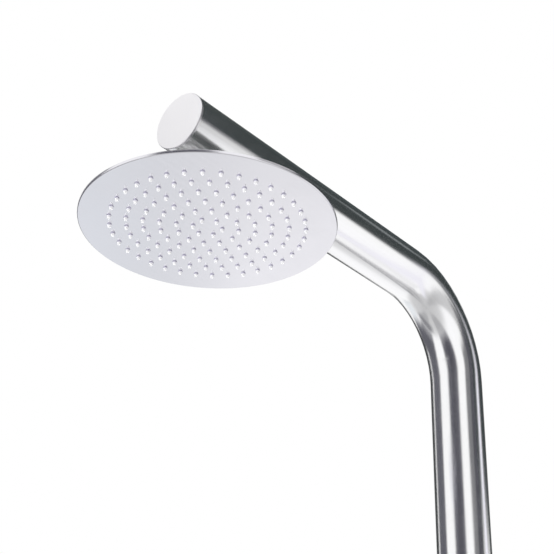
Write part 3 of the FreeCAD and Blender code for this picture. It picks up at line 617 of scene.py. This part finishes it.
def make_materials():
    satin = (0.97, 0.97, 0.975)
    chrome = (0.88, 0.88, 0.89)
    inlet = around("Y", "Z", INLET_HEIGHT)
    return {
        "tube": steel("tube_satin", satin, 0.16, along_the_tube, normal=tube_normal),
        "cap": steel("cap_brushed", (0.915, 0.905, 0.925), 0.3, straight("Y", "X", "Z"), 0.000004, 0.012),
        "face": steel("face_brushed", (0.86, 0.852, 0.89), 0.2, straight("Z", "X", "Y"), 0.00001, 0.01),
        "base": steel("base_turned", (0.74, 0.74, 0.75), 0.26, around("Z", "Y", 0.0)),
        # painted shade: the pressed back gets a darker steel colour for the shade that it lies in under the
        # arm
        "shell": steel("shell_steel_painted_shade", (0.73, 0.73, 0.735), 0.27, straight("Z", "X", "Y"), 0.000002, 0.01),
        "saddle": steel("saddle_turned", satin, 0.2, around("Z", "Y", HEAD_Y)),
        "valve": steel("valve_turned", satin, 0.17, around("Y", "Z", VALVE_HEIGHT)),
        "inlet": steel("inlet_turned", satin, 0.2, inlet),
        "lever": steel("lever_turned", satin, 0.15, around("Z", "Y", LEVER_Y)),
        "weld": steel("weld_bead", (0.7, 0.68, 0.66), 0.34, around("Z", "Y", 0.0)),
        "screw": steel("screw_steel", (0.5, 0.5, 0.51), 0.3, straight("X", "Y", "Z")),
        "chrome": steel("chromed_brass", chrome, 0.09, around("Z", "Y", HEAD_Y), 0.000005, 0.01),
        "inlet_chrome": steel("chromed_inlet", chrome, 0.12, inlet, 0.000005, 0.01),
        "brass": plain("raw_brass", (0.72, 0.5, 0.2), 0.32, 0.06, metallic=1.0),
        "hose": plain("hose_rubber", (0.035, 0.035, 0.037), 0.6, 0.1),
        "seal": plain("seal_rubber", (0.02, 0.02, 0.02), 0.5, 0.1),
        "silicone": silicone(),
        "white_plastic": plain("white_plastic", (0.82, 0.82, 0.79), 0.4, 0.02),
        "black_plastic": plain("black_plastic", (0.03, 0.03, 0.03), 0.45, 0.08),
        "ceramic": plain("white_ceramic", (0.86, 0.86, 0.83), 0.2, 0.02),
    }


FINISHES = {
    "tube": ("post_tube",),
    "cap": ("end_cap",),
    "base": ("base_flange",),
    "saddle": ("outlet_saddle",),
    "valve": ("valve_housing", "valve_saddle", "handle_knob"),
    "inlet": ("inlet_saddle",),
    "lever": ("handle_lever",),
    "screw": ("handle_screw", "filter_screen", "hose_ferrules"),
    "chrome": ("outlet_nipple", "swivel_ball"),
    "brass": ("inlet_elbow", "outlet_elbow", "valve_body", "valve_spindle", "bonnet_nut", "head_lock_nut"),
    "hose": ("supply_hose_lower", "supply_hose_upper"),
    "seal": ("cartridge_seal", "ball_seal", "head_gasket"),
    "white_plastic": ("valve_cartridge", "ball_seat", "flow_restrictor"),
    "black_plastic": ("handle_glide_ring",),
    "ceramic": ("fixed_disc", "turning_disc"),
}


def dress_nodes():
    """Gives each CAD node its finish."""
    for finish, nodes in FINISHES.items():
        for name in nodes:
            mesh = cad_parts[name].data
            mesh.materials.clear()
            mesh.materials.append(MATERIALS[finish])


# ---- Shapes --------------------------------------------------------------------------------------

UPWARD = Matrix.Identity(3)
BACKWARD = Matrix.Rotation(-TURN / 4, 3, "X")
HEX_STEPS = 120  # round a hexagonal piece
HEX_NEAR = 0.999  # points under this share of the flats' radius aren't on the hexagon
HEX_CUT = 0.985  # radius of the cut corners at each end, as a share of the flats'
HEX_SLOPE = 0.6  # rise of a cut corner for each distance outward
MERGE_DISTANCE = 2e-7  # points nearer than this become one


def polar(angle, radius, height=0.0):
    return Vector((math.cos(angle) * radius, math.sin(angle) * radius, height))


def lathe(build, outline, origin, steps, way=UPWARD, closed=True, shape=None):
    """Turns (radius, height) points about an axis. shape may change a radius by its angle and height."""
    rings = []
    for radius, height in outline:
        count = steps if radius > 0 else 1
        ring = []
        for step in range(count):
            angle = TURN * step / steps
            r = shape(angle, radius, height) if shape else radius
            ring.append(build.verts.new(way @ polar(angle, r, height) + origin))
        rings.append(ring)
    pairs = list(zip(rings, rings[1:])) + ([(rings[-1], rings[0])] if closed else [])
    for low, high in pairs:
        for step in range(steps):
            after = (step + 1) % steps
            around_face = ((low, step), (low, after), (high, after), (high, step))
            corners = list(dict.fromkeys(ring[place % len(ring)] for ring, place in around_face))
            if len(corners) > 2:
                build.faces.new(corners)


def arc(centre, radius, start, end, count=6):
    """Points on an arc from one angle to another, in degrees."""
    angles = [math.radians(start + (end - start) * n / count) for n in range(count + 1)]
    return [(centre[0] + radius * math.cos(a), centre[1] + radius * math.sin(a)) for a in angles]


def arc_through(start, middle, end, count=10):
    """Points on the arc through three points, without the first."""
    (ax, ay), (bx, by), (cx, cy) = start, middle, end
    d = 2 * (ax * (by - cy) + bx * (cy - ay) + cx * (ay - by))
    a2, b2, c2 = ax * ax + ay * ay, bx * bx + by * by, cx * cx + cy * cy
    x = (a2 * (by - cy) + b2 * (cy - ay) + c2 * (ay - by)) / d
    y = (a2 * (cx - bx) + b2 * (ax - cx) + c2 * (bx - ax)) / d
    first, last = math.atan2(ay - y, ax - x), math.atan2(cy - y, cx - x)
    sweep = (last - first + TURN / 2) % TURN - TURN / 2
    radius = math.hypot(ax - x, ay - y)
    angles = [first + sweep * n / count for n in range(1, count + 1)]
    return [(x + radius * math.cos(a), y + radius * math.sin(a)) for a in angles]


def hexagonal(flat_r, low, high):
    """A lathe shape: a hexagon with its corners cut back at both ends, as on a nut."""

    def shape(angle, radius, height):
        if radius < flat_r * HEX_NEAR or not low <= height <= high:
            return radius
        off_flat = (angle % (TURN / 6)) - TURN / 12
        corner = flat_r / math.cos(off_flat)
        inward = min(height - low, high - height)
        return min(corner, flat_r * HEX_CUT + inward / HEX_SLOPE)

    return shape


def add_piece(name, build, body, finish, sharp=32):
    """Finishes a mesh: merged, smooth apart from its sharp edges, dressed and set on its body."""
    bmesh.ops.remove_doubles(build, verts=build.verts, dist=MERGE_DISTANCE)
    bmesh.ops.recalc_face_normals(build, faces=build.faces)
    for face in build.faces:
        face.smooth = True
    mesh = bpy.data.meshes.new(name)
    build.to_mesh(mesh)
    build.free()
    mesh.set_sharp_from_angle(angle=math.radians(sharp))
    mesh.materials.append(MATERIALS[finish])
    piece = link(name, mesh)
    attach(piece, body)
    return piece


# ---- Head ----------------------------------------------------------------------------------------

RIM_STEPS = 192
NOZZLE_STEPS = 20


def nozzle_centres():
    """Where the nozzles stand about the head's axis: each ring has six more than the one inside it."""
    pitch = (HEAD_R - NOZZLE_BORDER - FIRST_RING) / (RING_COUNT - 1)
    for ring in range(RING_COUNT):
        radius = FIRST_RING + ring * pitch
        count = RING_GROWTH * (ring + 1)
        for step in range(count):
            yield polar(RING_RAY + TURN * step / count, radius)


def holed_sheet(build, outer_r, hole_r, height):
    """A flat level disc with a round hole for each nozzle."""
    edges = []
    circles = [(HEAD_AXIS, outer_r, RIM_STEPS)]
    circles += [(HEAD_AXIS + centre, hole_r, NOZZLE_STEPS) for centre in nozzle_centres()]
    for centre, radius, steps in circles:
        places = [centre + polar(TURN * step / steps, radius, height) for step in range(steps)]
        ring = [build.verts.new(place) for place in places]
        edges += [build.edges.new(pair) for pair in zip(ring, ring[1:] + ring[:1])]
    bmesh.ops.triangle_fill(build, use_beauty=True, edges=edges)


def add_face():
    """The pierced face, with the edge of each hole broken, and its rounded, turned-up rim."""
    build = bmesh.new()
    sheet_r = HEAD_R - FACE_BORDER
    flat_r = HEAD_R - RIM_LIP
    holed_sheet(build, sheet_r, HOLE_R + HOLE_EDGE, FACE_LOW)
    holed_sheet(build, sheet_r, HOLE_R, FACE_BACK)
    rim = [(sheet_r, FACE_LOW), (HEAD_R - RIM_ROUND - RIM_HOLD, FACE_LOW)]
    rim += arc((HEAD_R - RIM_ROUND, FACE_LOW + RIM_ROUND), RIM_ROUND, -90, 0)
    rim += [(HEAD_R, RIM_TOP - RIM_EDGE), (HEAD_R - RIM_EDGE, RIM_TOP), (flat_r, RIM_TOP)]
    rim += [(flat_r, FACE_BACK), (sheet_r, FACE_BACK)]
    lathe(build, rim, HEAD_AXIS, RIM_STEPS, closed=False)
    wall = [(HOLE_R + HOLE_EDGE, FACE_LOW), (HOLE_R, FACE_LOW + HOLE_EDGE), (HOLE_R, FACE_BACK)]
    for centre in nozzle_centres():
        lathe(build, wall, HEAD_AXIS + centre, NOZZLE_STEPS, closed=False)
    face = add_piece("rain_face", build, "head", "face")
    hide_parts("head_face_plate")


def add_nozzles():
    """The silicone mat with its tapered, bored nozzles."""
    build = bmesh.new()
    holed_sheet(build, MAT_R, NOZZLE_ROOT_R, FACE_BACK)
    back = [(MAT_R, FACE_BACK), (MAT_R, MAT_HIGH.z), (0, MAT_HIGH.z)]
    lathe(build, back, HEAD_AXIS, RIM_STEPS, closed=False)
    bore_end = MAT_LOW.z + NOZZLE_BORE_DEPTH
    nozzle = [(NOZZLE_ROOT_R, FACE_BACK), (NOZZLE_ROOT_R, FACE_LOW)]
    nozzle += arc((NOZZLE_TIP_R - NOZZLE_LIP, MAT_LOW.z + NOZZLE_LIP), NOZZLE_LIP, 0, -90, 4)
    nozzle += [(NOZZLE_BORE_R + NOZZLE_BORE_EDGE, MAT_LOW.z), (NOZZLE_BORE_R, MAT_LOW.z + NOZZLE_BORE_EDGE)]
    nozzle += [(NOZZLE_BORE_R, bore_end), (0, bore_end)]
    for centre in nozzle_centres():
        lathe(build, nozzle, HEAD_AXIS + centre, NOZZLE_STEPS, closed=False)
    nozzles = add_piece("rain_nozzles", build, "head", "silicone", sharp=50)
    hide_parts("nozzle_mat")


def pressed_line(lift):
    """The crown's outline from its flat top out to the rim, lift above the sheet's underside."""
    foot_r, flat_r = CROWN_FOOT / 2, CROWN_FLAT / 2
    step_r = HEAD_R - CHAMBER_BORDER
    base = FACE_BACK + lift
    chamber = base + CHAMBER_RISE
    foot = chamber + CHAMBER_PITCH
    top = CROWN_TOP - SHEET + lift
    middle = ((foot_r + flat_r) / 2, (foot + top) / 2)
    out, rise = CROWN_SLACK * (foot_r - middle[0]), CROWN_BOW * (middle[1] - foot)
    line = [(flat_r, top)]
    line += arc_through(line[-1], (middle[0] - out, middle[1] + rise), middle)
    line += arc_through(line[-1], (middle[0] + out, middle[1] - rise), (foot_r, foot))
    line += [(step_r - CHAMBER_STEP - PRESS_ROUND, chamber + PRESS_LEAD)]
    line += [(step_r - CHAMBER_STEP, chamber - PRESS_EDGE)]
    line += [(step_r, base + PRESS_EDGE), (step_r + PRESS_ROUND, base)]
    return line


def add_shell():
    """The pressed back of the head."""
    build = bmesh.new()
    shell_r = HEAD_R - RIM_LIP - SHELL_GAP
    outline = [(STUD_HOLE_R, CROWN_TOP)] + pressed_line(SHEET) + [(shell_r, RIM_TOP), (shell_r, FACE_BACK)]
    outline += pressed_line(0)[::-1] + [(STUD_HOLE_R, CROWN_TOP - SHEET)]
    lathe(build, outline, HEAD_AXIS, RIM_STEPS)
    shell = add_piece("head_back", build, "head", "shell", sharp=40)
    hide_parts("head_back_shell")


def add_collar():
    """The collar nut, with chamfered hexagon corners."""
    build = bmesh.new()
    hex_low = COLLAR_HIGH.z - COLLAR_HEX
    lip_top = COLLAR_LOW.z + LIP_THICK
    seat_top = lip_top + SEAT_DEPTH
    neck_r = COLLAR_FLAT_R * COLLAR_NECK
    outline = [(LIP_R, lip_top), (LIP_R, COLLAR_LOW.z), (COLLAR_NOSE_R - COLLAR_NOSE_EDGE, COLLAR_LOW.z)]
    outline += [(COLLAR_NOSE_R, COLLAR_LOW.z + COLLAR_NOSE_EDGE)]
    outline += [(neck_r, hex_low - COLLAR_EDGE), (neck_r, hex_low)]
    outline += [(COLLAR_FLAT_R, hex_low + COLLAR_HEX * share) for share in COLLAR_ROWS]
    outline += [(PIPE_R + COLLAR_MOUTH_EDGE, COLLAR_HIGH.z), (PIPE_R, COLLAR_HIGH.z - COLLAR_MOUTH_EDGE)]
    outline += [(PIPE_R, seat_top), (SEAT_POCKET_R, seat_top), (SEAT_POCKET_R, lip_top)]
    shape = hexagonal(COLLAR_FLAT_R, hex_low, COLLAR_HIGH.z)
    lathe(build, outline, HEAD_AXIS, HEX_STEPS, shape=shape)
    collar = add_piece("collar_nut", build, "post", "chrome", sharp=25)
    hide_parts("swivel_collar")


# ---- Inlet and base ------------------------------------------------------------------------------


def inlet_shape(flange_low, flange_high):
    """The hexagonal flange, and beyond it the pipe thread's helix."""
    flange = hexagonal(FLANGE_FLAT_R, flange_low, flange_high)

    def shape(angle, radius, height):
        if height > flange_high + THREAD_OFFSET / 2 and radius > NIPPLE_STUD_R:
            phase = height / THREAD_PITCH - angle / TURN
            groove = THREAD_DEPTH * (0.5 - 0.5 * math.cos(TURN * phase))
            return min(radius, PIPE_R - groove)
        return flange(angle, radius, height)

    return shape


def add_inlet():
    """The supply nipple at the back, with its thread cut."""
    build = bmesh.new()
    thread_start = NIPPLE_END - NIPPLE_THREAD
    flange_start = thread_start - FLANGE_THICK
    outline = [(NIPPLE_BORE_R, NIPPLE_START), (NIPPLE_STUD_R, NIPPLE_START), (NIPPLE_STUD_R, flange_start)]
    outline += [(FLANGE_FLAT_R, flange_start + FLANGE_THICK * share) for share in FLANGE_ROWS]
    count = round(NIPPLE_THREAD / THREAD_PITCH * THREAD_ROWS)
    for step in range(count + 1):
        height = thread_start + NIPPLE_THREAD * step / count
        crest = min(PIPE_R, PIPE_R - THREAD_CHAMFER + NIPPLE_END - height)
        outline.append((crest, height + THREAD_OFFSET))
    outline += [(NIPPLE_BORE_R, NIPPLE_END)]
    shape = inlet_shape(flange_start, thread_start)
    lathe(build, outline, Vector((0, 0, INLET_HEIGHT)), HEX_STEPS, BACKWARD, shape=shape)
    nipple = add_piece("inlet_union", build, "post", "inlet_chrome", sharp=25)
    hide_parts("inlet_nipple")


WELD_RIPPLES = 84
WELD_STEPS = 6  # to each ripple
RIPPLE_HEIGHT = 0.00016
RIPPLE_CREST = 0.35  # where in a ripple its crest lies
RIPPLE_START = 0.001  # ripples grow to their height over this distance from the tube
WELD_BEAD = (
    # distance out from the tube, and up from the base's raised ring
    (0.0, -0.0006),
    (0.0032, -0.0006),
    (0.0034, 0.0001),
    (0.0029, 0.0009),
    (0.0022, 0.0016),
    (0.0014, 0.0023),
    (0.0006, 0.0029),
    (0.0, 0.0031),
)


def weld_ripple(angle, radius, height):
    """Overlapping coin marks round the bead."""
    coin = abs((angle * WELD_RIPPLES / TURN) % 1.0 - RIPPLE_CREST)
    return radius + RIPPLE_HEIGHT * (0.5 - coin) * min(1.0, (radius - TUBE_R) / RIPPLE_START)


def add_weld():
    """The bead that joins the tube to the base's raised ring."""
    build = bmesh.new()
    bead = [(TUBE_R + out, HUB_TOP + up) for out, up in WELD_BEAD]
    lathe(build, bead, Vector((0, 0, 0)), WELD_RIPPLES * WELD_STEPS, shape=weld_ripple)
    add_piece("base_weld", build, "post", "weld", sharp=60)


# ---- Building the scene --------------------------------------------------------------------------

add_camera()
add_world()
add_floor()
for card in CARDS:
    add_card(*card)
for lamp in LAMPS:
    add_lamp(*lamp)
MATERIALS = make_materials()
dress_nodes()
add_face()
add_nozzles()
add_shell()
add_collar()
add_inlet()
add_weld()

SCENE.view_settings.view_transform = "Standard"
